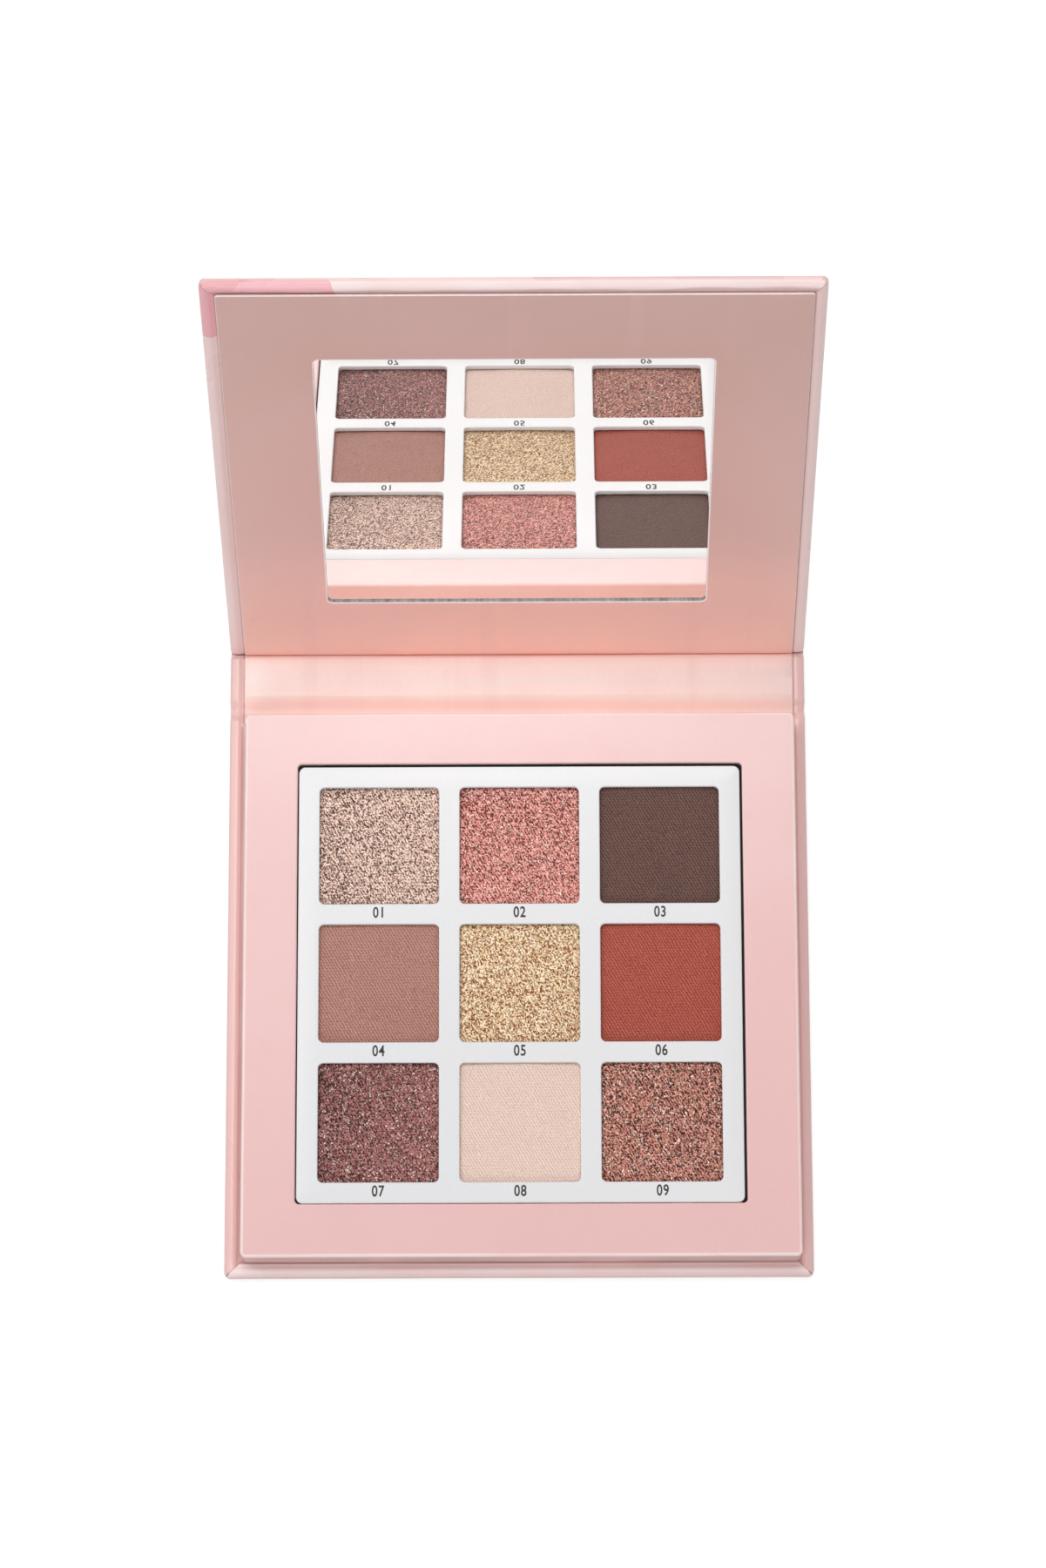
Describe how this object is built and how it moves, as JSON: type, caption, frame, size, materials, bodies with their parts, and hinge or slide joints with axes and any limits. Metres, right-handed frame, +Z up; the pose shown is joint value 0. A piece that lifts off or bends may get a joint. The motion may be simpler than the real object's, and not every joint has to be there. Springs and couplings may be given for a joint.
{
  "type": "eyeshadow palette",
  "caption": "Flat book-style makeup palette: a paper-wrapped board case with a mirror in its folding lid and square pressed powders set in a white card on a raised tray.",
  "frame": {"origin": "middle of the base panel's underside", "axes": "+Z up from the table, +Y from the front edge towards the spine, +X to the right"},
  "size_m": [0.1074, 0.1576, 0.0994],
  "materials": {
    "greyboard": "matt recycled greyboard",
    "printed_wrap": "satin laminated printed paper, pink",
    "tray_paper": "satin laminated printed paper, pale pink",
    "liner_paper": "satin laminated printed card, pale pink",
    "black_board": "matt black board",
    "adhesive": "clear to black pressure-sensitive adhesive",
    "white_card": "smooth white card",
    "magnet": "nickel plated magnet",
    "steel": "plain steel disc",
    "tin": "pressed tinplate",
    "mirror": "silvered flat glass",
    "powder_champagne": "shimmer pressed powder with a woven press mark",
    "powder_rose": "shimmer pressed powder with a woven press mark",
    "powder_umber": "matt pressed powder with a woven press mark",
    "powder_beige": "matt pressed powder with a woven press mark",
    "powder_gold": "metallic shimmer pressed powder with a woven press mark",
    "powder_brick": "matt pressed powder with a woven press mark",
    "powder_plum": "shimmer pressed powder with a woven press mark",
    "powder_ivory": "matt pressed powder with a woven press mark",
    "powder_copper": "shimmer pressed powder with a woven press mark"
  },
  "bodies": {
    "base": {"base_board": "greyboard", "base_wrap": "printed_wrap", "tray_box": "greyboard", "tray_wrap": "tray_paper", "riser_board": "greyboard", "pan_carrier": "black_board", "pan_glue": "adhesive", "pan_1": "tin", "pan_2": "tin", "pan_3": "tin", "pan_4": "tin", "pan_5": "tin", "pan_6": "tin", "pan_7": "tin", "pan_8": "tin", "pan_9": "tin", "powder_1": "powder_champagne", "powder_2": "powder_rose", "powder_3": "powder_umber", "powder_4": "powder_beige", "powder_5": "powder_gold", "powder_6": "powder_brick", "powder_7": "powder_plum", "powder_8": "powder_ivory", "powder_9": "powder_copper", "pan_card": "white_card", "tray_magnets": "magnet"},
    "spine": {"spine_board": "greyboard", "spine_wrap": "printed_wrap", "spine_liner": "liner_paper"},
    "lid": {"lid_back_board": "greyboard", "lid_frame_board": "greyboard", "lid_wrap": "printed_wrap", "lid_liner": "liner_paper", "mirror": "mirror", "mirror_tape": "adhesive", "lid_discs": "steel"}
  },
  "joints": [
    {"name": "spine_fold", "type": "hinge", "parent": "base", "child": "spine", "pos_m": [0, 0.05323, 0], "axis": [1, 0, 0], "range_deg": [0, 90]},
    {"name": "lid_fold", "type": "hinge", "parent": "spine", "child": "lid", "pos_m": [0, 0.06523, 0], "axis": [1, 0, 0], "range_deg": [-68.3, 21.7]}
  ]
}
